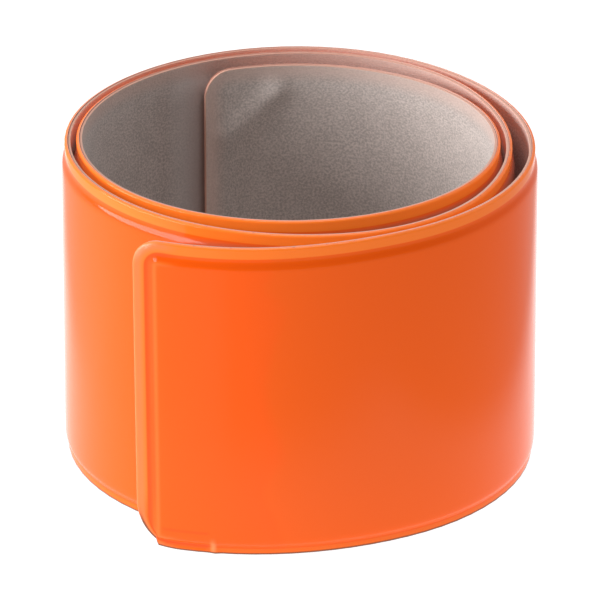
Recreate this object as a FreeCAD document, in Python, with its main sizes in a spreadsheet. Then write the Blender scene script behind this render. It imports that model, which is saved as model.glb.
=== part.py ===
import FreeCAD, Part
import os
from collections import namedtuple
from math import cos, pi, radians, sin

import Sketcher

# A slap bracelet at rest: a flat band of glossy film and flocked backing, welded together all round
# over a thin spring steel strip, and coiled up. It stands on one long edge.
# Each layer of the band is a wall that is a chain of tangent arcs seen from above, drawn up to height.
# The reference line of the coil is the inner face of the flock in the welded rim, and every other
# face lies at its own distance outside that line.
# Lengths are in millimetres and angles in degrees.

# One row for each bend of the coil, from the inner end outwards.
# radius is that of the reference line, turn is the angle that the bend turns through, and lies says
# where the bend is, with the front at -Y.
Bend = namedtuple("Bend", "radius turn lies")
BENDS = (
    Bend(18.1, 56.0, "first turn: inner end, at the back"),
    Bend(17.5, 56.0, "first turn: right"),
    Bend(17.4, 56.0, "first turn: front right"),
    Bend(19.1, 56.0, "first turn: front"),
    Bend(18.6, 56.0, "first turn: left"),
    Bend(19.2, 56.0, "first turn: back left"),
    Bend(20.0, 56.0, "second turn: behind the inner end"),
    Bend(17.2, 56.0, "second turn: back right"),
    Bend(25.1, 56.0, "second turn: right, where it is flattest"),
    Bend(16.3, 56.0, "second turn: front right"),
    Bend(21.4, 56.0, "second turn: front left"),
    Bend(21.5, 56.0, "second turn: left"),
    Bend(21.2, 56.0, "third turn: back left"),
    Bend(19.1, 56.0, "third turn: back"),
    Bend(23.5, 56.0, "third turn: right"),
    Bend(21.4, 56.0, "third turn: front right"),
    Bend(26.3, 56.8, "third turn: outer end, which stands off"),
)

# Each row is a cell of the sheet: its name, its value and what it is.
Cell = namedtuple("Cell", "name value meaning")
CELLS = (
    Cell("band_width", 30.0, "height of the standing band"),
    Cell("first_heading", 118.0, "way that the inner end's outside faces, from +X"),
    Cell("first_centre_across", -0.18, "centre of the first bend, along X"),
    Cell("first_centre_deep", 0.14, "centre of the first bend, along Y"),
    Cell("long_weld", 1.65, "width of the welded rim along the long edges"),
    Cell("end_weld", 1.9, "width of the welded rim at both ends"),
    Cell("band_corner", 2.5, "radius of three of the band's corners"),
    Cell("low_corner", 3.4, "radius of the lower corner at the outer end, which is cut rounder"),
    Cell("panel_corner", 0.6, "radius of the raised panel's corners"),
    Cell("strip_corner", 0.4, "radius of the spring strip's corners"),
    Cell("flock_rim", 0.25, "thickness of the backing in the weld"),
    Cell("flock_belly", 0.10, "how far the backing bellies inwards over the strip"),
    Cell("film_rim", 0.28, "thickness of the film in the weld"),
    Cell("film_panel", 0.30, "thickness of the film over the strip"),
    Cell("strip_thick", 0.20, "thickness of the spring steel"),
    Cell("strip_play", 0.10, "room round the edge of the strip in its pocket"),
    Cell("seam", 0.02, "clearance between one layer and the next"),
)

# The points of an arc, as a sketch numbers them. Every arc is drawn anticlockwise and the coil
# winds clockwise, so the end of an arc that comes later on the band is the arc's own start.
LATER_END, EARLIER_END, CENTRE = 1, 2, 3
LINE_START, LINE_END = 1, 2
ORIGIN = (-1, 1)

# How close two lengths are that count as the same.
NEAR = 0.0001


class Size:
    """A number that keeps the formula on the sheet that gives it."""

    def __init__(self, value, formula):
        self.value = float(value)
        self.formula = formula

    def combine(self, other, sign, result):
        right = other.formula if isinstance(other, Size) else repr(other)
        return Size(result, "(%s %s %s)" % (self.formula, sign, right))

    def __add__(self, other):
        return self.combine(other, "+", self.value + plain(other))

    def __sub__(self, other):
        return self.combine(other, "-", self.value - plain(other))

    def __mul__(self, other):
        return self.combine(other, "*", self.value * plain(other))

    def __truediv__(self, other):
        return self.combine(other, "/", self.value / plain(other))


def plain(number):
    return number.value if isinstance(number, Size) else float(number)


def radius_cell(i):
    return "bend_radius_%02d" % (i + 1)


def turn_cell(i):
    return "bend_turn_%02d" % (i + 1)


def bend_cells():
    """The rows of the table of bends as cells of the sheet: first the radii, then the turns."""
    radii = [Cell(radius_cell(i), bend.radius, bend.lies) for i, bend in enumerate(BENDS)]
    turns = [Cell(turn_cell(i), bend.turn, bend.lies) for i, bend in enumerate(BENDS)]
    return tuple(radii + turns)


def make_sheet(doc):
    """The sheet of driving sizes, and each of them as a Size."""
    sheet = doc.addObject("Spreadsheet::Sheet", "Sizes")
    cells = CELLS + bend_cells()
    for row, cell in enumerate(cells, start=1):
        sheet.set("A%d" % row, cell.name)
        sheet.set("B%d" % row, str(cell.value))
        sheet.setAlias("B%d" % row, cell.name)
        sheet.set("C%d" % row, cell.meaning)
    doc.recompute()
    return {cell.name: Size(sheet.get(cell.name), "Sizes." + cell.name) for cell in cells}


class Levels:
    """How far outside the reference line each face of the band lies, and how far in its edges lie."""

    def __init__(self, size):
        self.flock_face = size["seam"] * 0
        self.flock_belly = size["seam"] * 0 - size["flock_belly"]
        self.flock_middle = size["flock_rim"] / 2
        self.flock_back = size["flock_rim"]
        self.film_inside = size["flock_rim"] + size["seam"]
        self.film_middle = self.film_inside + size["film_rim"] / 2
        self.film_face = self.film_inside + size["film_rim"]
        self.strip_face = self.film_inside + size["strip_thick"]
        self.pocket_top = self.strip_face + size["seam"]
        self.panel_face = self.pocket_top + size["film_panel"]
        self.band_edge = Inset(size["seam"] * 0, size["seam"] * 0)
        self.panel_edge = Inset(size["end_weld"], size["long_weld"])
        self.pocket_edge = self.panel_edge.further(size["film_panel"])
        self.strip_edge = self.pocket_edge.further(size["strip_play"])


class Inset(namedtuple("Inset", "at_ends along")):
    """How far an outline lies in from the ends and from the long edges of the band."""

    def further(self, more):
        return Inset(self.at_ends + more, self.along + more)


def origin_plane(body, role):
    for feature in body.Origin.OriginFeatures:
        if feature.Role == role:
            return feature
    raise ValueError("no plane " + role)


def sweeps(size, inset):
    """The angle of each bend, less what the inset takes off the first and the last."""
    last = len(BENDS) - 1
    angles = [size[turn_cell(i)] for i in range(len(BENDS))]
    taken = [inset.at_ends / size[radius_cell(i)] * 180 / pi for i in (0, last)]
    angles[0] = angles[0] - taken[0]
    angles[last] = angles[last] - taken[1]
    return angles, size["first_heading"] - taken[0]


def bend_centres(size):
    """Centre of each bend: at a joint both bends have their centre on the same normal."""
    centre = FreeCAD.Vector(size["first_centre_across"].value, size["first_centre_deep"].value, 0)
    centres = [centre]
    heading = size["first_heading"].value
    for i in range(1, len(BENDS)):
        heading -= size[turn_cell(i - 1)].value
        step = size[radius_cell(i - 1)].value - size[radius_cell(i)].value
        outwards = FreeCAD.Vector(cos(radians(heading)), sin(radians(heading)), 0)
        centre = centre + outwards * step
        centres.append(centre)
    return centres


def wall_arcs(size, offset, angles, heading):
    """The arcs of one side of a wall, at a distance outside the reference line."""
    arcs = []
    upwards = FreeCAD.Vector(0, 0, 1)
    facing = heading.value
    for i, centre in enumerate(bend_centres(size)):
        later = facing - angles[i].value
        circle = Part.Circle(centre, upwards, size[radius_cell(i)].value + offset.value)
        arcs.append(Part.ArcOfCircle(circle, radians(later), radians(facing)))
        facing = later
    return arcs


class WallSketch:
    """A sketch of a wall of the band from above: two chains of arcs and two short ends."""

    def __init__(self, body, name, size, inner, outer, inset):
        self.sketch = body.newObject("Sketcher::SketchObject", name)
        self.sketch.AttachmentSupport = [(origin_plane(body, "XY_Plane"), "")]
        self.sketch.MapMode = "FlatFace"
        self.sketch.setExpression("AttachmentOffset.Base.z", inset.along.formula)
        self.constraints = []
        self.formulas = {}
        count = len(BENDS)
        angles, heading = sweeps(size, inset)
        inside = wall_arcs(size, inner, angles, heading)
        outside = wall_arcs(size, outer, angles, heading)
        first_end = Part.LineSegment(inside[0].EndPoint, outside[0].EndPoint)
        last_end = Part.LineSegment(inside[-1].StartPoint, outside[-1].StartPoint)
        self.sketch.addGeometry(inside + outside + [first_end, last_end], False)
        self.join_arcs(count)
        self.close_ends(count, first_line=2 * count, last_line=2 * count + 1)
        self.bind("DistanceX", size["first_centre_across"], *ORIGIN, 0, CENTRE)
        self.bind("DistanceY", size["first_centre_deep"], *ORIGIN, 0, CENTRE)
        self.bind("Angle", heading, 2 * count)
        self.bind("Distance", outer - inner, 2 * count)
        self.size_bends(count, size, inner, angles)
        self.sketch.addConstraint(self.constraints)
        for number, formula in self.formulas.items():
            self.sketch.setExpression("Constraints[%d]" % number, formula)

    def tie(self, kind, *places):
        self.constraints.append(Sketcher.Constraint(kind, *places))

    def bind(self, kind, size, *places):
        """A constraint whose value follows the sheet."""
        value = radians(size.value) if kind == "Angle" else size.value
        self.formulas[len(self.constraints)] = size.formula
        self.tie(kind, *places, value)

    def join_arcs(self, count):
        """Arc i of the inner chain shares its centre with arc count + i of the outer one."""
        for i in range(count):
            self.tie("Coincident", i, CENTRE, count + i, CENTRE)
        for i in range(count - 1):
            self.tie("Tangent", i, LATER_END, i + 1, EARLIER_END)
            self.tie("Coincident", count + i, LATER_END, count + i + 1, EARLIER_END)

    def close_ends(self, count, first_line, last_line):
        self.tie("Perpendicular", first_line, LINE_START, 0, EARLIER_END)
        self.tie("Coincident", first_line, LINE_END, count, EARLIER_END)
        self.tie("Coincident", last_line, LINE_START, count - 1, LATER_END)
        self.tie("Coincident", last_line, LINE_END, 2 * count - 1, LATER_END)

    def size_bends(self, count, size, inner, angles):
        for i in range(count):
            self.bind("Radius", size[radius_cell(i)] + inner, i)
            self.bind("Angle", angles[i], i)
            self.bind("Angle", angles[i], count + i)


class Builder:
    """Makes one sub-part as a body, out of walls that stand on the band's plan."""

    def __init__(self, doc, name, size):
        self.body = doc.addObject("PartDesign::Body", name)
        self.body.Label = name
        self.body.Placement = FreeCAD.Placement()
        self.size = size

    def wall(self, name, inner, outer, inset, kind="PartDesign::Pad"):
        """A wall between two faces of the band, or a pocket of that shape."""
        drawing = WallSketch(self.body, name + "_plan", self.size, inner, outer, inset)
        feature = self.body.newObject(kind, name)
        feature.Profile = drawing.sketch
        height = self.size["band_width"] - inset.along * 2
        feature.setExpression("Length", height.formula)
        feature.Reversed = kind == "PartDesign::Pocket"
        self.body.Document.recompute()
        return feature

    def pocket(self, name, inner, outer, inset):
        """A pocket cut up through the wall, which has to take some of it away."""
        before = self.body.Shape.Volume
        feature = self.wall(name, inner, outer, inset, "PartDesign::Pocket")
        assert feature.Shape.Volume < before - 1, name + " cuts nothing"
        return feature

    def corner_edges(self, shape, depth, height):
        """Numbers of the short straight edges that cross the wall level at one height."""
        found = []
        for number, edge in enumerate(shape.Edges, start=1):
            box = edge.BoundBox
            level = abs(box.ZMin - height) < NEAR and abs(box.ZMax - height) < NEAR
            if isinstance(edge.Curve, Part.Line) and level and abs(edge.Length - depth) < NEAR:
                found.append("Edge%d" % number)
        return found

    def round_corners(self, name, radius, inset, depth):
        """Rounds the corners that are still square in the outline that lies in by inset."""
        base = self.body.Tip
        low = inset.along.value
        heights = (low, self.size["band_width"].value - low)
        edges = [edge for z in heights for edge in self.corner_edges(base.Shape, depth.value, z)]
        assert len(edges) in (3, 4), "%s found %d edges" % (name, len(edges))
        self.fillet(name, base, edges, radius)

    def round_band(self, name, depth):
        """Rounds the corners of the band. The lower one at the outer end, furthest from the middle
        of the coil, has a radius of its own."""
        base = self.body.Tip
        low = self.corner_edges(base.Shape, depth.value, 0)
        assert len(low) == 2, "%s found %d low edges" % (name, len(low))
        outer = max(low, key=lambda edge: self.from_middle(base.Shape, edge))
        self.fillet(name + "_low", base, [outer], self.size["low_corner"])
        self.round_corners(name, self.size["band_corner"], Inset(depth * 0, depth * 0), depth)

    def from_middle(self, shape, edge):
        """How far an edge lies from the middle of the coil, seen from above."""
        middle = shape.getElement(edge).CenterOfMass
        return (middle.x ** 2 + middle.y ** 2) ** 0.5

    def fillet(self, name, base, edges, radius):
        feature = self.body.newObject("PartDesign::Fillet", name)
        feature.Base = (base, edges)
        feature.setExpression("Radius", radius.formula)
        self.body.Document.recompute()
        return feature


def make_outer_film(doc, size, level):
    """The glossy film: a flat rim, and a panel raised over the pocket for the strip."""
    film = Builder(doc, "outer_film", size)
    film.wall("film_sheet", level.film_inside, level.film_face, level.band_edge)
    film.round_band("film_corners", size["film_rim"])
    film.wall("film_panel", level.film_middle, level.panel_face, level.panel_edge)
    film.round_corners("film_panel_corners", size["panel_corner"], level.panel_edge,
                       level.panel_face - level.film_face)
    film.pocket("film_pocket", level.flock_middle, level.pocket_top, level.pocket_edge)
    return film.body


def make_flock_backing(doc, size, level):
    """The flocked backing: flat in the weld, with a slight belly inwards over the strip."""
    flock = Builder(doc, "flock_backing", size)
    flock.wall("flock_sheet", level.flock_face, level.flock_back, level.band_edge)
    flock.round_band("flock_corners", size["flock_rim"])
    flock.wall("flock_belly", level.flock_belly, level.flock_middle, level.pocket_edge)
    flock.round_corners("flock_belly_corners", size["panel_corner"], level.pocket_edge,
                        size["flock_belly"])
    return flock.body


def make_spring_strip(doc, size, level):
    """The thin steel strip in the pocket between film and backing."""
    strip = Builder(doc, "spring_strip", size)
    strip.wall("strip_wall", level.film_inside, level.strip_face, level.strip_edge)
    strip.round_corners("strip_corners", size["strip_corner"], level.strip_edge, size["strip_thick"])
    return strip.body


def check(doc, bodies):
    """Stops before anything is written if a feature or a shape is bad."""
    for thing in doc.Objects:
        bad = [word for word in thing.State if word in ("Invalid", "Error")]
        assert not bad, "%s is %s" % (thing.Name, bad)
    for body in bodies:
        shape = body.Shape
        assert not shape.isNull() and shape.isValid(), body.Label + " has no valid shape"
        assert len(shape.Solids) == 1, body.Label + " is not one solid"


def main():
    doc = FreeCAD.newDocument("slap_bracelet")
    size = make_sheet(doc)
    level = Levels(size)
    bodies = [make(doc, size, level) for make in (make_outer_film, make_flock_backing, make_spring_strip)]
    doc.recompute()
    check(doc, bodies)
    os.makedirs("parts", exist_ok=True)
    for body in bodies:
        body.Shape.exportStep("parts/%s.step" % body.Label)
        print(body.Label, "volume %.1f" % body.Shape.Volume, body.Shape.BoundBox)


main()
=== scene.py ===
from collections import namedtuple
from copy import copy
from math import cos, pi, radians, sin

import bpy
import numpy as np
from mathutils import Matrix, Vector


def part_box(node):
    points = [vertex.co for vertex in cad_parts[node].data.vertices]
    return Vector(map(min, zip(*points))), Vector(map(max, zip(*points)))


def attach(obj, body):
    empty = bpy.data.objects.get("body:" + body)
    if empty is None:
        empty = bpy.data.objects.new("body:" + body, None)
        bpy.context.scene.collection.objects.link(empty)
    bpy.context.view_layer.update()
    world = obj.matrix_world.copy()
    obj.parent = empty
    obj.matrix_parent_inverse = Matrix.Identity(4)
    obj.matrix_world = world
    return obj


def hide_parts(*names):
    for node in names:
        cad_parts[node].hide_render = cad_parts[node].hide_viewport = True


# The looks of a slap bracelet: a band of glossy orange film and grey flocked backing, welded together
# all round over a thin spring steel strip, coiled up and standing on one long edge.
# Both layers are built as closed meshes over one grid of the flat band, and rolled up along the coil.
# Lengths are in millimetres until the vertices are written, which is in metres.

MM = 0.001

# One row for each bend of the coil, from the inner end outwards, as the CAD source has them.
Bend = namedtuple("Bend", "radius turn")
BENDS = (
    Bend(18.1, 56.0),
    Bend(17.5, 56.0),
    Bend(17.4, 56.0),
    Bend(19.1, 56.0),
    Bend(18.6, 56.0),
    Bend(19.2, 56.0),
    Bend(20.0, 56.0),
    Bend(17.2, 56.0),
    Bend(25.1, 56.0),
    Bend(16.3, 56.0),
    Bend(21.4, 56.0),
    Bend(21.5, 56.0),
    Bend(21.2, 56.0),
    Bend(19.1, 56.0),
    Bend(23.5, 56.0),
    Bend(21.4, 56.0),
    Bend(26.3, 56.8),
)
FIRST_HEADING = 118.0
FIRST_CENTRE = (-0.18, 0.14)

# Over this length one bend's curvature passes smoothly into the next one's.
EASE = 8.0
LINE_STEP = 0.05

# One row for each ring of the grid, from the cut edge of the band inwards.
# end and long are how far the ring lies in from the ends and from the long edges, corner is its corner
# radius as a share of the band's, and the rest are distances outside the coil's reference line: the
# film's outer face and inner face, and the flock's face inside the coil.
Ring = namedtuple("Ring", "end long corner film_face film_inside flock_face")
RINGS = (
    Ring(0.00, 0.00, 1.00, 0.330, 0.290, 0.030),
    Ring(0.05, 0.06, 1.00, 0.450, 0.270, 0.010),
    Ring(0.12, 0.12, 0.98, 0.525, 0.270, 0.000),
    Ring(0.24, 0.20, 0.95, 0.555, 0.270, 0.000),
    Ring(0.42, 0.31, 0.90, 0.552, 0.270, 0.000),
    Ring(0.66, 0.50, 0.82, 0.538, 0.270, 0.000),
    Ring(0.84, 0.70, 0.73, 0.535, 0.270, 0.000),
    Ring(0.98, 0.85, 0.66, 0.528, 0.270, 0.000),
    Ring(1.12, 1.00, 0.60, 0.508, 0.270, 0.000),
    Ring(1.30, 1.20, 0.48, 0.500, 0.270, 0.000),
    Ring(1.52, 1.38, 0.38, 0.522, 0.270, 0.000),
    Ring(1.74, 1.55, 0.28, 0.595, 0.270, -0.005),
    Ring(1.96, 1.74, 0.20, 0.685, 0.270, -0.015),
    Ring(2.18, 1.94, 0.13, 0.757, 0.490, -0.030),
    Ring(2.42, 2.20, 0.09, 0.788, 0.490, -0.055),
    Ring(2.80, 2.60, 0.06, 0.797, 0.490, -0.085),
    Ring(3.30, 3.20, 0.04, 0.800, 0.490, -0.100),
    Ring(3.95, 3.95, 0.02, 0.800, 0.490, -0.100),
    Ring(4.80, 4.80, 0.00, 0.800, 0.490, -0.100),
)

# The flock's back, which lies against the film, and how much it is rounded off at the cut edge.
FLOCK_BACK = 0.25
FLOCK_ROUNDED = 0.03

# The flock stops this much short of the film's rim, and is drawn in over this much of it.
FLOCK_SHORT = 0.06
FLOCK_DRAWN = 0.5

# The weld is narrower along the lower edge: there its rings lie this share as far in. From LOW_FROM on
# this fades, and the innermost ring lies as far in as along the upper edge.
LOW_SHARE = 0.60
LOW_FROM = 1.5

# Corner radii of the band. The lower corner of the outer end is cut rounder than the other three.
CORNER = 2.5
LOW_CORNER = 4.2

# Spacing of the grid lines between the rings of opposite edges.
STEP_ALONG = 0.6
STEP_AT_ENDS = 0.3
FINE_LENGTH = 9.0
STEP_ACROSS = 0.8

# The outer end is cut out of square, further out at the top by this much over the band's width.
OUT_OF_SQUARE = 0.25
SKEWED_LENGTH = 20.0

# Past this distance from the outer end the lower corner's cut stops short and the edge steps out.
NICK_AT = 1.87
NICK_WIDTH = 0.14
NICK_SHARE = 0.72

# Towards the outer end the film and the flock stand out from the coil by this much, and narrow at their
# upper edge. The steel strip keeps the place of its solid, so there it runs into the flock, and its upper
# edge shows through the flock's face inside the coil.
FLARE = 0.30
TAPER = 0.18
END_FROM = 7.0
END_LENGTH = 24.0

# The foot of the end's welding tool presses the lower weld for a few millimetres and leaves a crease.
# FOOT_FROM and FOOT_TO are lengths from the outer end. The pressed line comes in over the heights of
# FOOT_LOW on the band, and goes out over those of FOOT_HIGH.
FOOT_FROM = 2.2
FOOT_TO = 7.0
FOOT_DEPTH = 0.05
FOOT_EASE_IN = 0.5
FOOT_EASE_OUT = 0.2
FOOT_LOW = (0.25, 0.45)
FOOT_HIGH = (0.80, 1.10)

# The crease is this high, lies this far past the foot, is this wide and fades out over these heights.
CREASE = 0.12
CREASE_PAST = 0.25
CREASE_WIDTH = 0.3
CREASE_TOP = (1.0, 1.8)

# A ripple is a product of two sines that cross each other. Each sine has a length along the band and a
# length across it, in millimetres to the radian, and a shift in radians. share is how much it counts.
Ripple = namedtuple("Ripple", "share along across shift cross_along cross_across cross_shift")

# The film over the strip is a little uneven. It comes in over the distances of WAVE_STARTS from the edge.
WAVE = 0.012
WAVE_STARTS = (1.7, 4.5)
WAVES = (
    Ripple(0.7, 4.3, 9.0, 0.0, 31.0, 5.1, 0.7),
    Ripple(0.3, 2.1, -6.2, 1.3, 11.0, 2.9, 0.0),
)

# The cut rim is a little uneven. This goes out over the distances of RAGGED_ENDS from the edge.
RAGGED = 0.016
RAGGED_ENDS = (0.15, 0.70)
RAGGED_MARKS = (Ripple(1.0, 1 / 5.3, 1 / 4.1, 0.0, 1 / 1.7, -1 / 2.3, 0.6),)

# The fold of the backing over the strip's corner at the inner end: where it starts and ends, as lengths
# from the end and from the long edge, how high it stands and how wide it is. It fades out from
# FOLD_WITHIN before each of the two points to FOLD_PAST beyond it.
FOLD_START = (1.4, 7.4)
FOLD_END = (7.6, 1.9)
FOLD_HEIGHT = 0.60
FOLD_WIDTH = 1.10
FOLD_WITHIN = 1.2
FOLD_PAST = 1.0

# Edges that turn by more degrees than this stay sharp.
SHARP_FROM = 50


def smooth(value, low, high):
    """0 below low, 1 above high, and a smooth step between."""
    share = np.clip((value - low) / (high - low), 0, 1)
    return share * share * (3 - 2 * share)


class Coil:
    """The coil's reference line from above: where it is and where it faces at each length along it."""

    def __init__(self):
        ends = np.cumsum([radians(bend.turn) * bend.radius for bend in BENDS])
        self.length = ends[-1]
        self.at = np.linspace(0, self.length, int(self.length / LINE_STEP) + 1)
        curvature = np.full_like(self.at, 1 / BENDS[0].radius)
        for joint, before, after in zip(ends, BENDS, BENDS[1:]):
            change = 1 / after.radius - 1 / before.radius
            curvature += change * smooth(self.at, joint - EASE / 2, joint + EASE / 2)
        self.heading = radians(FIRST_HEADING) - self.run(curvature)
        start = radians(FIRST_HEADING)
        radius = BENDS[0].radius
        # The band runs clockwise, at a right angle to the way that it faces.
        self.x = FIRST_CENTRE[0] + radius * cos(start) + self.run(np.sin(self.heading))
        self.y = FIRST_CENTRE[1] + radius * sin(start) - self.run(np.cos(self.heading))

    def run(self, rate):
        """Sum of a rate along the line, from its start to each point."""
        steps = (rate[1:] + rate[:-1]) / 2 * np.diff(self.at)
        return np.concatenate([[0], np.cumsum(steps)])

    def place(self, along, across, outside):
        """Points at a length along the band, a height on it and a distance outside the line."""
        inside_line = np.clip(along, 0, self.length)
        past = along - inside_line
        heading = np.interp(inside_line, self.at, self.heading)
        out_x = np.cos(heading)
        out_y = np.sin(heading)
        x = np.interp(inside_line, self.at, self.x) + outside * out_x + past * out_y
        y = np.interp(inside_line, self.at, self.y) + outside * out_y - past * out_x
        return np.stack([x, y, across], axis=-1)


class Plan:
    """A grid over the flat band whose outermost lines are rings that follow its rounded corners."""

    def __init__(self, length, width):
        self.length = length
        self.width = width
        self.block = len(RINGS) - 1
        along = self.lines_along()
        across = self.lines_across()
        self.along, self.across = np.meshgrid(along, across, indexing="ij")
        self.ring = np.minimum(self.from_sides(len(along))[:, None], self.from_sides(len(across))[None, :])
        for outer in (False, True):
            for upper in (False, True):
                self.round_corner(outer, upper)
        self.shape_outer_end()
        self.from_edge = long_insets(True)[self.ring]

    def lines_along(self):
        ends = np.array([ring.end for ring in RINGS])
        fine = evenly(ends[-1], FINE_LENGTH, STEP_AT_ENDS)
        coarse = evenly(FINE_LENGTH, self.length - FINE_LENGTH, STEP_ALONG)
        first = [*ends, *fine, FINE_LENGTH]
        return np.array([*first, *coarse, *(self.length - np.array(first[::-1]))])

    def lines_across(self):
        lower = long_insets(False)
        upper = self.width - long_insets(True)[::-1]
        return np.concatenate([lower, evenly(lower[-1], upper[0], STEP_ACROSS), upper])

    def from_sides(self, count):
        """For each of so many lines, the number of the ring that it belongs to."""
        number = np.arange(count)
        return np.minimum(np.minimum(number, number[::-1]), self.block)

    def round_corner(self, outer, upper):
        """Moves the grid points of one corner block onto the rounded rings."""
        ends = np.array([ring.end for ring in RINGS])
        longs = long_insets(upper)
        low_outer = outer and not upper
        corner = LOW_CORNER if low_outer else CORNER
        for k, ring in enumerate(RINGS[:-1]):
            radius = ring.corner * corner
            walk, from_end, from_long = rounded_ring(ends[k:], longs[k:], radius)
            if low_outer:
                sag = from_long - longs[k]
                cut_short = NICK_SHARE * smooth(from_end, NICK_AT, NICK_AT + NICK_WIDTH)
                from_long = longs[k] + sag * (1 - cut_short)
            for (i, j), end, long in zip(walk, from_end, from_long):
                row = -1 - (i + k) if outer else i + k
                column = -1 - (j + k) if upper else j + k
                self.along[row, column] = self.length - end if outer else end
                self.across[row, column] = self.width - long if upper else long

    def shape_outer_end(self):
        near_end = smooth(self.along, self.length - SKEWED_LENGTH, self.length)
        self.across = self.across * (1 - self.at_outer_end() * TAPER / self.width)
        self.along = self.along + near_end * OUT_OF_SQUARE * (self.across / self.width - 0.5)

    def drawn_in(self, gap):
        """The same grid with its rim a little further in from the long edges."""
        inner = copy(self)
        at_rim = 1 - smooth(self.from_edge, 0, FLOCK_DRAWN)
        inner.across = self.across + gap * at_rim * np.where(self.across < self.width / 2, 1, -1)
        return inner

    def at_outer_end(self):
        """1 near the outer end, and 0 from some way before it."""
        return 1 - smooth(self.length - self.along, END_FROM, END_LENGTH)

    def by_ring(self, column):
        """A distance that the table of rings gives, at every grid point."""
        return np.array([getattr(ring, column) for ring in RINGS])[self.ring]


def long_insets(upper):
    """How far each ring lies in from the upper or from the lower edge."""
    insets = np.array([ring.long for ring in RINGS])
    share = 1 if upper else LOW_SHARE + (1 - LOW_SHARE) * smooth(insets, LOW_FROM, insets[-1])
    return insets * share


def evenly(start, end, step):
    """Lines between start and end, without them, about a step apart."""
    count = max(int(round((end - start) / step)), 1)
    return np.linspace(start, end, count + 1)[1:-1]


def rounded_ring(ends, longs, radius):
    """The part of one ring in a corner block, walked from the short edge's side to the long edge's:
    the steps on the grid, and each point's distance in from the end and from the long edge."""
    last = len(ends) - 1
    walk = [(0, j) for j in range(last, -1, -1)] + [(i, 0) for i in range(1, last + 1)]
    down = longs[-1] - longs[::-1]
    onwards = down[-1] + ends[1:] - ends[0]
    share = np.concatenate([down, onwards]) / onwards[-1]
    before = longs[-1] - longs[0] - radius
    after = ends[-1] - ends[0] - radius
    quarter = pi / 2 * radius
    gone = share * (before + quarter + after)
    angle = np.clip((gone - before) / radius, 0, pi / 2)
    from_end = ends[0] + radius * (1 - np.cos(angle)) + np.maximum(gone - before - quarter, 0)
    from_long = longs[-1] - np.minimum(gone, before) - radius * np.sin(angle)
    return walk, from_end, from_long


def rippled(plan, ripples):
    """The sum of some ripples at every grid point, from -1 to 1."""
    total = 0
    for ripple in ripples:
        wave = np.sin(plan.along / ripple.along + plan.across / ripple.across + ripple.shift)
        cross = np.sin(
            plan.along / ripple.cross_along + plan.across / ripple.cross_across + ripple.cross_shift
        )
        total = total + ripple.share * wave * cross
    return total


def film_relief(plan):
    """Height of the film's outer face, with its unevenness and the marks at the outer end."""
    waves = WAVE * smooth(plan.from_edge, *WAVE_STARTS) * rippled(plan, WAVES)
    marks = RAGGED * (1 - smooth(plan.from_edge, *RAGGED_ENDS)) * rippled(plan, RAGGED_MARKS)
    return plan.by_ring("film_face") + waves + foot_marks(plan) + marks


def foot_marks(plan):
    """The line that the welding tool's foot presses into the lower weld, and the crease past it."""
    from_end = plan.length - plan.along
    begun = smooth(from_end, FOOT_FROM, FOOT_FROM + FOOT_EASE_IN)
    ended = smooth(from_end, FOOT_TO - FOOT_EASE_OUT, FOOT_TO)
    low = smooth(plan.across, *FOOT_LOW) * (1 - smooth(plan.across, *FOOT_HIGH))
    past = (from_end - FOOT_TO - CREASE_PAST) / CREASE_WIDTH
    crease = np.exp(-(past**2)) * (1 - smooth(plan.across, *CREASE_TOP))
    return CREASE * crease - FOOT_DEPTH * begun * (1 - ended) * low


def corner_fold(from_end, from_long):
    """A soft ridge between two points, 1 at its crest."""
    run = np.array(FOLD_END) - np.array(FOLD_START)
    length = np.hypot(*run)
    run = run / length
    gone = (from_end - FOLD_START[0]) * run[0] + (from_long - FOLD_START[1]) * run[1]
    beside = (from_long - FOLD_START[1]) * run[0] - (from_end - FOLD_START[0]) * run[1]
    begun = smooth(gone, -FOLD_PAST, FOLD_WITHIN)
    ended = smooth(gone, length - FOLD_WITHIN, length + FOLD_PAST)
    within = begun * (1 - ended)
    return within * np.exp(-((beside / FOLD_WIDTH) ** 2))


def flock_relief(plan):
    """Height of the flock's face inside the coil, with the folds over the strip's corners."""
    folds = corner_fold(plan.along, plan.width - plan.across) + corner_fold(plan.along, plan.across)
    return plan.by_ring("flock_face") - FOLD_HEIGHT * folds


def closed_layer(name, coil, plan, outer, inner):
    """A closed mesh between two faces of the band, joined round its cut edge. Its faces are wound to
    point into the layer. For the materials it holds each point's place on the flat band, and whether
    the point is on the inner face."""
    rows, columns = plan.along.shape
    outer_points = coil.place(plan.along, plan.across, outer).reshape(-1, 3)
    inner_points = coil.place(plan.along, plan.across, inner).reshape(-1, 3)
    number = np.arange(rows * columns).reshape(rows, columns)
    corners = [number[:-1, :-1], number[1:, :-1], number[1:, 1:], number[:-1, 1:]]
    quads = np.stack(corners, axis=-1).reshape(-1, 4)
    behind = quads[:, ::-1] + rows * columns
    rim = np.concatenate([number[:-1, 0], number[-1, :-1], number[:0:-1, -1], number[0, :0:-1]])
    following = np.roll(rim, -1)
    wall = np.stack([following, rim, rim + rows * columns, following + rows * columns], axis=-1)
    faces = np.concatenate([quads, behind, wall])
    mesh = bpy.data.meshes.new(name)
    points = np.concatenate([outer_points, inner_points]) * MM
    mesh.from_pydata(points.tolist(), [], faces.tolist())
    mesh.validate()
    place = np.stack([plan.along, plan.across, plan.from_edge], axis=-1).reshape(-1, 3)
    layer = mesh.attributes.new("band_place", "FLOAT_VECTOR", "POINT")
    layer.data.foreach_set("vector", np.concatenate([place, place]).astype(np.float32).ravel())
    side = mesh.attributes.new("inner_side", "FLOAT", "POINT")
    side.data.foreach_set("value", np.repeat([0.0, 1.0], rows * columns).astype(np.float32))
    mesh.shade_smooth()
    mesh.set_sharp_from_angle(angle=radians(SHARP_FROM))
    piece = bpy.data.objects.new(name, mesh)
    bpy.context.scene.collection.objects.link(piece)
    return piece


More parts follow.
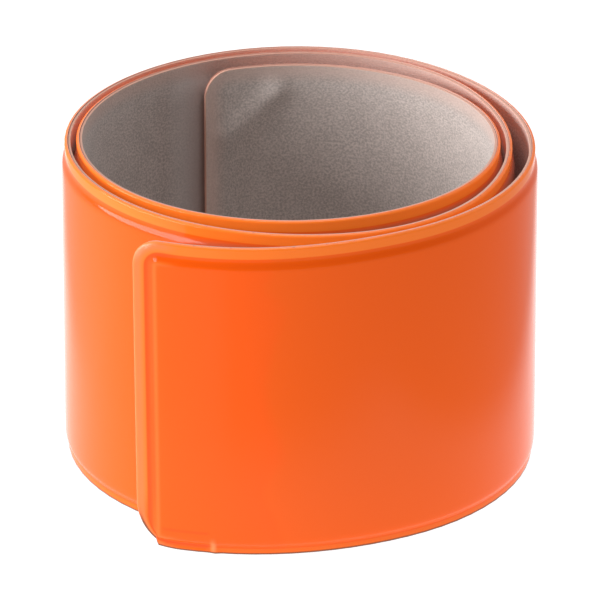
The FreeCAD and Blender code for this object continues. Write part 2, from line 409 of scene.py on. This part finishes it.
class Wire:
    """A socket of a material's node. Sums and products of it add the Math nodes."""

    def __init__(self, shader, socket):
        self.shader = shader
        self.socket = socket

    def __add__(self, other):
        return self.shader.maths("ADD", self, other)

    def __radd__(self, other):
        return self.shader.maths("ADD", other, self)

    def __sub__(self, other):
        return self.shader.maths("SUBTRACT", self, other)

    def __rsub__(self, other):
        return self.shader.maths("SUBTRACT", other, self)

    def __mul__(self, other):
        return self.shader.maths("MULTIPLY", self, other)

    def __rmul__(self, other):
        return self.shader.maths("MULTIPLY", other, self)


class Shader:
    """The nodes of a new material or surround, and the one way in which nodes are added to it."""

    def __init__(self, owner):
        owner.use_nodes = True
        self.owner = owner
        self.tree = owner.node_tree
        self.tree.nodes.clear()

    def add(self, kind, sockets, output=0, **settings):
        """Adds a node with its settings, gives each socket its value or its link and returns an output."""
        node = self.tree.nodes.new(kind)
        for setting, value in settings.items():
            setattr(node, setting, value)
        for key, value in sockets.items():
            if isinstance(value, Wire):
                self.tree.links.new(value.socket, node.inputs[key])
            else:
                node.inputs[key].default_value = value
        return Wire(self, node.outputs[output])

    def maths(self, operation, first, second):
        return self.add("ShaderNodeMath", {0: first, 1: second}, operation=operation)

    def near(self, value, middle, reach):
        """1 at the middle, and 0 further from it than the reach."""
        return 1 - self.step(self.maths("ABSOLUTE", value - middle, 0.0), 0.0, reach)

    def step(self, value, low, high):
        """0 below low, 1 above high, and a smooth step between."""
        sockets = {"Value": value, "From Min": low, "From Max": high}
        return self.add("ShaderNodeMapRange", sockets, "Result", interpolation_type="SMOOTHSTEP")

    def blend(self, share, first, second):
        """The first colour, passing to the second as share goes from 0 to 1."""
        sockets = {0: share, 6: first, 7: second}
        return self.add("ShaderNodeMix", sockets, 2, data_type="RGBA")

    def noise(self, where, scale, detail=2.0, roughness=0.5):
        sockets = {"Vector": where, "Scale": scale, "Detail": detail, "Roughness": roughness}
        return self.add("ShaderNodeTexNoise", sockets, "Fac")

    def band_place(self):
        """Millimetres along the band, across it and in from its edge, and all three as one vector."""
        where = self.add("ShaderNodeAttribute", {}, "Vector", attribute_name="band_place")
        parts = [self.add("ShaderNodeSeparateXYZ", {"Vector": where}, axis) for axis in "XYZ"]
        return where, *parts

    def ramp(self, share, stops):
        """A grey level that passes through stops, which are pairs of a place and a colour."""
        level = self.add("ShaderNodeValToRGB", {0: share}, "Color")
        entries = level.socket.node.color_ramp.elements
        for i, (place, shade) in enumerate(stops):
            entry = entries[i] if i < 2 else entries.new(place)
            entry.position = place
            entry.color = shade
        return level

    def bump(self, height, distance, strength=1.0):
        sockets = {"Height": height, "Distance": distance * MM, "Strength": strength}
        return self.add("ShaderNodeBump", sockets, "Normal")

    def surface(self, **sockets):
        """The surface of a material. Names of sockets have _ in place of a space."""
        values = {key.replace("_", " "): value for key, value in sockets.items()}
        surface = self.add("ShaderNodeBsdfPrincipled", values, "BSDF")
        output = self.tree.nodes.new("ShaderNodeOutputMaterial")
        self.tree.links.new(surface.socket, output.inputs["Surface"])
        return self.owner


def colour(red, green, blue):
    return (red, green, blue, 1.0)


PANEL_ORANGE = colour(0.95, 0.104, 0.002)
WELD_TONE_AND_LIGHT = colour(1.00, 0.200, 0.020)
END_PAINTED_REFLECTION = colour(1.00, 0.200, 0.055)
END_GROOVE_SHADE = colour(0.92, 0.080, 0.004)
END_RIDGE_HIGHLIGHT = colour(1.00, 0.140, 0.016)
PANEL_SHADE_ORANGE = colour(0.90, 0.109, 0.002)
SLOPE_SHADE_ORANGE = colour(0.80, 0.086, 0.001)
FILM_EDGE = colour(0.95, 0.220, 0.060)
FILM_INSIDE = colour(0.80, 0.500, 0.420)
FILM_WORN = colour(0.98, 0.460, 0.330)
FILM_SPECK = colour(0.45, 0.120, 0.060)
FILM_CONTACT_SHADE = colour(0.16, 0.060, 0.025)
FILM_SHADE = colour(0.15, 0.065, 0.045)
FILM_DULL = colour(0.42, 0.160, 0.110)
FOOT_LINE_SHADE = colour(0.62, 0.055, 0.003)
CREASE_HIGHLIGHT = colour(1.00, 0.300, 0.110)
DIM_GLOW = colour(0.10, 0.010, 0.002)

# Where the film's colours pass into each other. Each pair is where a smooth step starts and ends.
# These are distances in from the band's edge.
WELD_ENDS = (0.95, 1.10)
CUT_ENDS = (0.02, 0.12)
CONTACT_ENDS = (0.20, 0.52)
WEAR_ENDS = (0.10, 0.55)
RIM_PAST = (0.3, 0.9)
COVER_STARTS = (0.9, 2.0)

# These are heights on the band.
LOW_ENDS = (3.0, 6.0)
CONTACT_TOP = (2.0, 4.0)
WEAR_STARTS = (27.4, 28.6)

# These are lengths from the outer end, and then from the inner one.
PANEL_SHADE_FROM = (11.8, 13.0)
STRIPES_END = (2.4, 4.5)
END_LINE = (0.15, 0.60)
UNDER_END = (3.0, 6.0)
GLOW_STARTS = (0.5, 4.0)

# The pale weld shows less by this share along the lower edge.
LOW_WELD_LESS = 0.6

# Painted shade: some way in from the outer end the panel is drawn darker, as where less light falls, past
# a line that sways by up to half of this.
SWAY = 5.0

# A stripe is full at its middle and gone at its reach from there, and share is how much of it shows.
Stripe = namedtuple("Stripe", "middle reach share")
# SLOPE is the slope up to the panel along the upper edge, which faces upwards and is painted in shade.
SLOPE = Stripe(1.68, 0.55, 0.9)
# The foot's pressed lines are painted in shade, and the crease past them in a painted highlight.
FOOT_LINES = (Stripe(0.62, 0.42, 0.6), Stripe(2.05, 0.25, 0.35))
CREASE_ALONG = Stripe(FOOT_TO + 0.12, 0.42, 0.7)
CREASE_ACROSS = Stripe(0.6, 1.2, 1.0)
WORN_CORNER = Stripe(0.7, 1.9, 1.0)
# Painted light along the outer end: a reflection on the bead and flange, shade in the groove and a
# highlight on the ridge.
END_LIGHT_STRIPES = (
    (Stripe(0.36, 0.66, 1.0), END_PAINTED_REFLECTION),
    (Stripe(1.22, 0.42, 1.0), END_GROOVE_SHADE),
    (Stripe(1.95, 0.36, 1.0), END_RIDGE_HIGHLIGHT),
)

# The line under the foot comes in over the first of these lengths and goes out over the second.
LINE_EASE_IN = 0.8
LINE_EASE_OUT = 0.5

# The specks on the rim: their noise's scale, detail and roughness, the noise's levels between which
# they come in, and how much of them shows. The worn corner shows at least WORN_LEAST between them.
SPECK_NOISE = (1.7, 4.0, 0.7)
SPECK_LEVELS = (0.52, 0.66)
SPECK_SHARE = 0.6
WORN_LEAST = 0.3

# The inner turns of the band lie at less than this length along it. Their film is drawn duller where
# the next turn covers it, so that it tints the flock less.
COVERED_TO = 190.0
COVERED_EASE = 12.0

# How deep the film's faint skin is, as a bump.
SKIN_DEPTH = 0.003


class Film:
    """The film's colour, laid on in layers, each over the one before."""

    def __init__(self, shader, length):
        self.shader = shader
        self.where, self.along, self.across, self.from_edge = shader.band_place()
        self.from_end = length - self.along
        self.low = 1 - shader.step(self.across, *LOW_ENDS)
        self.specks = shader.step(shader.noise(self.where, *SPECK_NOISE), *SPECK_LEVELS)
        self.inside = shader.add("ShaderNodeAttribute", {}, "Fac", attribute_name="inner_side")
        self.paint = self.plain()
        self.paint_end_light()
        self.mark_foot()
        self.finish_rim()
        self.dull_hidden()

    def lay(self, share, paint):
        self.paint = self.shader.blend(share, self.paint, paint)

    def stripe(self, value, stripe):
        return self.shader.near(value, stripe.middle, stripe.reach)

    def plain(self):
        """The panel over the strip, with painted shade away from the outer end, its slope in painted
        shade, and the weld, whose paler colour is partly its own and partly painted light.
        """
        shader = self.shader
        sway = (shader.noise(self.where, 0.16, 1.0) - 0.5) * SWAY
        panel_shade = shader.step(self.from_end + sway, *PANEL_SHADE_FROM)
        # Painted shade on the panel away from the outer end.
        panel = shader.blend(panel_shade, PANEL_ORANGE, PANEL_SHADE_ORANGE)
        # Painted shade on the slope up to the panel, which faces upwards.
        slope = self.stripe(self.from_edge, SLOPE) * (1 - self.low) * SLOPE.share
        # The paler weld is partly the pressed film's own colour and partly painted light off its relief.
        in_weld = (1 - shader.step(self.from_edge, *WELD_ENDS)) * (1 - self.low * LOW_WELD_LESS)
        return shader.blend(in_weld, shader.blend(slope, panel, SLOPE_SHADE_ORANGE), WELD_TONE_AND_LIGHT)

    def paint_end_light(self):
        """Painted light along the outer end: a painted reflection on the bead and flange, painted shade in
        the groove and a painted highlight on the ridge.
        """
        at_end = 1 - self.shader.step(self.from_end, *STRIPES_END)
        for stripe, paint in END_LIGHT_STRIPES:
            self.lay(self.stripe(self.from_edge, stripe) * at_end, paint)

    def mark_foot(self):
        """Painted shade along the pressed lines under the foot of the welding tool, and a painted
        highlight on the crease past it.
        """
        begun = self.shader.step(self.from_end, FOOT_FROM, FOOT_FROM + LINE_EASE_IN)
        ended = self.shader.step(self.from_end, FOOT_TO - LINE_EASE_OUT, FOOT_TO)
        low, high = [self.stripe(self.across, line) * line.share for line in FOOT_LINES]
        self.lay(begun * (1 - ended) * (low + high), FOOT_LINE_SHADE)
        crease = self.stripe(self.from_end, CREASE_ALONG) * self.stripe(self.across, CREASE_ACROSS)
        self.lay(crease * CREASE_ALONG.share, CREASE_HIGHLIGHT)

    def finish_rim(self):
        """The worn upper corner, the specked cut edge and the painted contact shade along the lower edge
        where the band stands.
        """
        shader = self.shader
        corner = self.stripe(self.from_end, WORN_CORNER) * shader.step(self.across, *WEAR_STARTS)
        worn = corner * (1 - shader.step(self.from_edge, *WEAR_ENDS))
        self.lay(worn * (WORN_LEAST + (1 - WORN_LEAST) * self.specks), FILM_WORN)
        rim = shader.blend(self.specks * SPECK_SHARE, FILM_EDGE, FILM_SPECK)
        self.lay(1 - shader.step(self.from_edge, *CUT_ENDS), rim)
        # Painted shade along the lower cut edge, where the band stands on the floor.
        contact_shade = 1 - shader.step(self.from_edge, *CONTACT_ENDS)
        self.lay(contact_shade * (1 - shader.step(self.across, *CONTACT_TOP)), FILM_CONTACT_SHADE)

    def dull_hidden(self):
        """The film that the next turn covers, the inner end and the side that faces the flock."""
        shader = self.shader
        inner_turns = 1 - shader.step(self.along, COVERED_TO, COVERED_TO + COVERED_EASE)
        self.covered = shader.step(self.from_edge, *COVER_STARTS) * inner_turns
        self.lay(self.covered, FILM_DULL)
        end_line = 1 - shader.step(self.along, *END_LINE)
        under_end = (1 - shader.step(self.along, *UNDER_END)) * shader.step(self.from_edge, *RIM_PAST)
        self.lay(end_line + under_end, FILM_SHADE)
        self.lay(self.inside, FILM_INSIDE)

    def glow(self):
        """The colour of the film's glow, which is partly painted light: its own, and almost none where it
        is hidden.
        """
        at_inner_end = 1 - self.shader.step(self.along, *GLOW_STARTS)
        return self.shader.blend(self.covered + self.inside + at_inner_end, self.paint, DIM_GLOW)


def glossy_film(length):
    shader = Shader(bpy.data.materials.new("glossy_orange_film"))
    film = Film(shader, length)
    # The film's glow stands in for its fluorescence, and is partly painted light that flattens its
    # shading.
    return shader.surface(
        Base_Color=film.paint,
        Roughness=0.08 + 0.08 * shader.noise(film.where, 0.35, 3.0),
        IOR=1.5,
        Specular_IOR_Level=0.27,
        Emission_Color=film.glow(),
        Emission_Strength=0.31,
        Normal=shader.bump(shader.noise(film.where, 1.6, 2.0), SKIN_DEPTH),
    )


FLOCK_LIGHT = colour(0.76, 0.66, 0.615)
FLOCK_DARK = colour(0.50, 0.43, 0.40)
FLOCK_RIM = colour(0.86, 0.62, 0.54)
FLOCK_EDGE = colour(0.80, 0.45, 0.34)
FLOCK_PALE = colour(0.97, 0.95, 0.92)
FLOCK_SHADE = colour(0.22, 0.12, 0.085)

# The inner end of the band lies on the flock from this length along it. The flock beside it is drawn
# paler, to make up for the shade and the reddish light that the end casts there.
# BESIDE_STARTS and BESIDE_ENDS are lengths past ENDS_ON, over which the pale part comes in and goes out.
ENDS_ON = 115.8
BESIDE_STARTS = (-4.4, -0.6)
BESIDE_ENDS = (0.0, 2.0)
BESIDE_SHARE = 0.75

# A thin dark line lies under the end, and fades out over the heights of END_SHADE_TOP on the band.
END_SHADE = Stripe(ENDS_ON + 0.45, 0.9, 0.8)
END_SHADE_TOP = (25.8, 28.0)

# The flock's grain: its noise's scale, detail and roughness, its share of the pattern beside a wider
# mottle, and the levels that are lightest and darkest.
GRAIN_NOISE = (4.6, 2.0, 0.6)
GRAIN_SHARE = 0.85
GRAIN_LEVELS = (0.66, 0.34)
GRAIN_DEPTH = 0.06
MOTTLE_NOISE = (0.5, 2.0)

# Distances from the edge over which the flock's pinkish rim and its cut edge go out.
FLOCK_RIM_ENDS = (0.4, 2.0)
FLOCK_RIM_SHARE = 0.65
FLOCK_EDGE_ENDS = (0.02, 0.08)


def grey_flock():
    shader = Shader(bpy.data.materials.new("grey_flock"))
    where, along, across, from_edge = shader.band_place()
    grain = shader.noise(where, *GRAIN_NOISE)
    mottle = shader.noise(where, *MOTTLE_NOISE)
    dark = shader.step(grain * GRAIN_SHARE + mottle * (1 - GRAIN_SHARE), *GRAIN_LEVELS)
    grey = shader.blend(dark, FLOCK_LIGHT, FLOCK_DARK)
    past = along - ENDS_ON
    beside_end = shader.step(past, *BESIDE_STARTS) * (1 - shader.step(past, *BESIDE_ENDS))
    lifted = shader.blend(beside_end * BESIDE_SHARE, grey, FLOCK_PALE)
    end_shade = shader.near(along, END_SHADE.middle, END_SHADE.reach)
    below_top = 1 - shader.step(across, *END_SHADE_TOP)
    shaded = shader.blend(end_shade * below_top * END_SHADE.share, lifted, FLOCK_SHADE)
    at_rim = (1 - shader.step(from_edge, *FLOCK_RIM_ENDS)) * FLOCK_RIM_SHARE
    rim = shader.blend(at_rim, shaded, FLOCK_RIM)
    return shader.surface(
        Base_Color=shader.blend(1 - shader.step(from_edge, *FLOCK_EDGE_ENDS), rim, FLOCK_EDGE),
        Roughness=0.95,
        Sheen_Weight=0.2,
        Sheen_Roughness=0.5,
        Specular_IOR_Level=0.2,
        Normal=shader.bump(grain, GRAIN_DEPTH),
    )


STEEL_GREY = colour(0.55, 0.56, 0.58)

# The scale of the steel's grain, to the metre.
STEEL_GRAIN = 900.0


def spring_steel():
    shader = Shader(bpy.data.materials.new("spring_steel"))
    where = shader.add("ShaderNodeTexCoord", {}, "Object")
    grain = shader.noise(where, STEEL_GRAIN, 2.0)
    return shader.surface(Base_Color=STEEL_GREY, Metallic=1.0, Roughness=0.25 + 0.2 * grain)


# The floor glows like a light table. Round the object it is white, in the hollow of the coil it is a
# painted shadow, and further out its glow changes with the angle round the object, as painted light that
# is brighter to the left,
# in degrees: 0 is the front, and the left is below it.
Glow = namedtuple("Glow", "angle level")
GLOWS = (
    Glow(-180, 0.40),
    Glow(-140, 0.42),
    Glow(-118, 0.55),
    Glow(-95, 0.90),
    Glow(-65, 0.98),
    Glow(-45, 0.85),
    Glow(-18, 0.78),
    Glow(-11, 0.50),
    Glow(60, 0.46),
    Glow(110, 0.34),
    Glow(180, 0.40),
)

# The glow is held in a colour ramp as a share of this.
GLOW_UNIT = 2.0

# The white part of the floor is as wide to each side as NEAR_WIDE, and wider towards the back by
# NEAR_SPREAD of the distance. From NEAR_MIDDLE it goes NEAR_DEEP to the front and to the back. Its
# border fades out at this many times its width and its depth.
GLOW_NEAR = 0.99
NEAR_WIDE = 28.6
NEAR_SPREAD = 0.036
NEAR_DEEP = 73.0
NEAR_MIDDLE = 39.5
WIDE_BORDER = 1.5
DEEP_BORDER = 1.3

# The hollow's glow, which is a painted shadow, and the distances from the middle over which it passes into
# the rest.
GLOW_HOLLOW = 0.15
HOLLOW_ENDS = (17.0, 21.0)

# The floor reaches this far each way, in metres, and lies this far below the object.
FLOOR_SIZE = 3.0
FLOOR_BELOW = 0.05


def grey_of(level):
    return colour(level, level, level)


def white_floor():
    shader = Shader(bpy.data.materials.new("white_floor"))
    where = shader.add("ShaderNodeTexCoord", {}, "Object")
    x, y = [shader.add("ShaderNodeSeparateXYZ", {"Vector": where}, axis) * (1 / MM) for axis in "XY"]
    angle = shader.maths("ARCTAN2", x, y * -1)
    stops = [((glow.angle + 180) / 360, grey_of(glow.level / GLOW_UNIT)) for glow in GLOWS]
    away = shader.ramp(angle * (0.5 / pi) + 0.5, stops) * GLOW_UNIT
    wide = shader.maths("DIVIDE", shader.maths("ABSOLUTE", x, 0.0), y * NEAR_SPREAD + NEAR_WIDE)
    deep = shader.maths("ABSOLUTE", y - NEAR_MIDDLE, 0.0) * (1 / NEAR_DEEP)
    near = (1 - shader.step(wide, 1.0, WIDE_BORDER)) * (1 - shader.step(deep, 1.0, DEEP_BORDER))
    glow = away + (GLOW_NEAR - away) * near
    outwards = shader.maths("SQRT", x * x + y * y, 0.0)
    glow = glow + (GLOW_HOLLOW - glow) * (1 - shader.step(outwards, *HOLLOW_ENDS))
    grey = shader.add("ShaderNodeCombineColor", {0: glow, 1: glow, 2: glow})
    return shader.surface(
        Base_Color=grey_of(0.2),
        Roughness=0.9,
        Specular_IOR_Level=0.0,
        Emission_Color=grey,
        Emission_Strength=1.0,
    )


def make_pieces(coil, plan):
    lean = FLARE * plan.at_outer_end()
    inner_face = plan.by_ring("film_inside") + lean
    film = closed_layer("orange_film", coil, plan, film_relief(plan) + lean, inner_face)
    film.data.materials.append(glossy_film(plan.length))
    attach(film, "root")
    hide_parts("outer_film")
    back = FLOCK_BACK - FLOCK_ROUNDED * (plan.ring == 0) + lean
    face = flock_relief(plan) + lean
    flock = closed_layer("grey_flock_backing", coil, plan.drawn_in(FLOCK_SHORT), back, face)
    flock.data.materials.append(grey_flock())
    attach(flock, "root")
    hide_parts("flock_backing")


def finish_strip(strip):
    strip.data.materials.clear()
    strip.data.materials.append(spring_steel())


def make_floor():
    size = FLOOR_SIZE
    corners = [(-size, -size, 0), (size, -size, 0), (size, size, 0), (-size, size, 0)]
    mesh = bpy.data.meshes.new("floor")
    mesh.from_pydata(corners, [], [(0, 1, 2, 3)])
    mesh.materials.append(white_floor())
    floor = bpy.data.objects.new("floor", mesh)
    floor.location.z = -FLOOR_BELOW * MM
    bpy.context.scene.collection.objects.link(floor)


def point_at(thing, target):
    direction = Vector(target) - thing.location
    thing.rotation_euler = direction.to_track_quat("-Z", "Y").to_euler()


# The softboxes' places and sizes are in metres and their power is in watts. All face the coil's middle.
LAMPS_FACE = (0, 0, 0.015)
Lamp = namedtuple("Lamp", "name place width height power")
LAMPS = (
    Lamp("left_softbox", (-0.55, -0.097, 0.20), 0.66, 0.26, 3.75),
    Lamp("right_softbox", (0.55, 0.10, 0.25), 0.25, 0.25, 0.10),
    Lamp("top_softbox", (0.02, 0.05, 0.60), 0.30, 0.30, 0.95),
)


def make_lamps():
    for lamp in LAMPS:
        data = bpy.data.lights.new(lamp.name, "AREA")
        data.shape = "RECTANGLE"
        data.size = lamp.width
        data.size_y = lamp.height
        data.energy = lamp.power
        thing = bpy.data.objects.new(lamp.name, data)
        thing.location = lamp.place
        point_at(thing, LAMPS_FACE)
        bpy.context.scene.collection.objects.link(thing)


# The surround is dimmer in front of the object than behind it. SURROUND_TURN is where it passes from
# one to the other, from -1 at the front to 1 at the back.
SURROUND_FRONT = 0.18
SURROUND_BACK = 0.40
SURROUND_TURN = (-0.7, 0.3)


def make_surround():
    world = bpy.data.worlds.new("pale_studio")
    shader = Shader(world)
    towards = shader.add("ShaderNodeTexCoord", {}, "Generated")
    back = shader.add("ShaderNodeSeparateXYZ", {"Vector": towards}, "Y")
    level = SURROUND_FRONT + (SURROUND_BACK - SURROUND_FRONT) * shader.step(back, *SURROUND_TURN)
    glow = shader.add("ShaderNodeBackground", {"Color": colour(1, 1, 1), "Strength": level})
    output = shader.tree.nodes.new("ShaderNodeOutputWorld")
    shader.tree.links.new(glow.socket, output.inputs["Surface"])
    bpy.context.scene.world = world
    bpy.context.scene.view_settings.view_transform = "Standard"


# The camera as fitted to the rims of the coil in the photograph: how many degrees it looks down, how
# far it is from the point that it orbits, its lens in millimetres, that point and the point it aims at.
CAMERA_LIFT = 24.4
CAMERA_DISTANCE = 678.4
CAMERA_LENS = 447.0
CAMERA_ORBITS = (0.046, 0.0, 15.0)
CAMERA_AIM = (0.034, 0.0, 14.41)


def make_camera():
    data = bpy.data.cameras.new("camera")
    data.lens = CAMERA_LENS
    data.clip_start = 0.01
    data.clip_end = 20
    camera = bpy.data.objects.new("camera", data)
    back = Vector((0, -cos(radians(CAMERA_LIFT)), sin(radians(CAMERA_LIFT))))
    camera.location = (Vector(CAMERA_ORBITS) + back * CAMERA_DISTANCE) * MM
    point_at(camera, Vector(CAMERA_AIM) * MM)
    bpy.context.scene.collection.objects.link(camera)
    bpy.context.scene.camera = camera


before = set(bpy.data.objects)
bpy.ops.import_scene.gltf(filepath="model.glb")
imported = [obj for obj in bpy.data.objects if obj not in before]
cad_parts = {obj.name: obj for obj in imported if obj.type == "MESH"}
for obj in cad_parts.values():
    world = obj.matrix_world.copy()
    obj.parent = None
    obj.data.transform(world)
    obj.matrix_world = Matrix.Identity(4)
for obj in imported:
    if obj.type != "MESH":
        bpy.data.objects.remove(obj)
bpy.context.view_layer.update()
low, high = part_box("outer_film")
band_coil = Coil()
make_pieces(band_coil, Plan(band_coil.length, (high.z - low.z) / MM))
finish_strip(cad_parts["spring_strip"])
make_floor()
make_surround()
make_lamps()
make_camera()
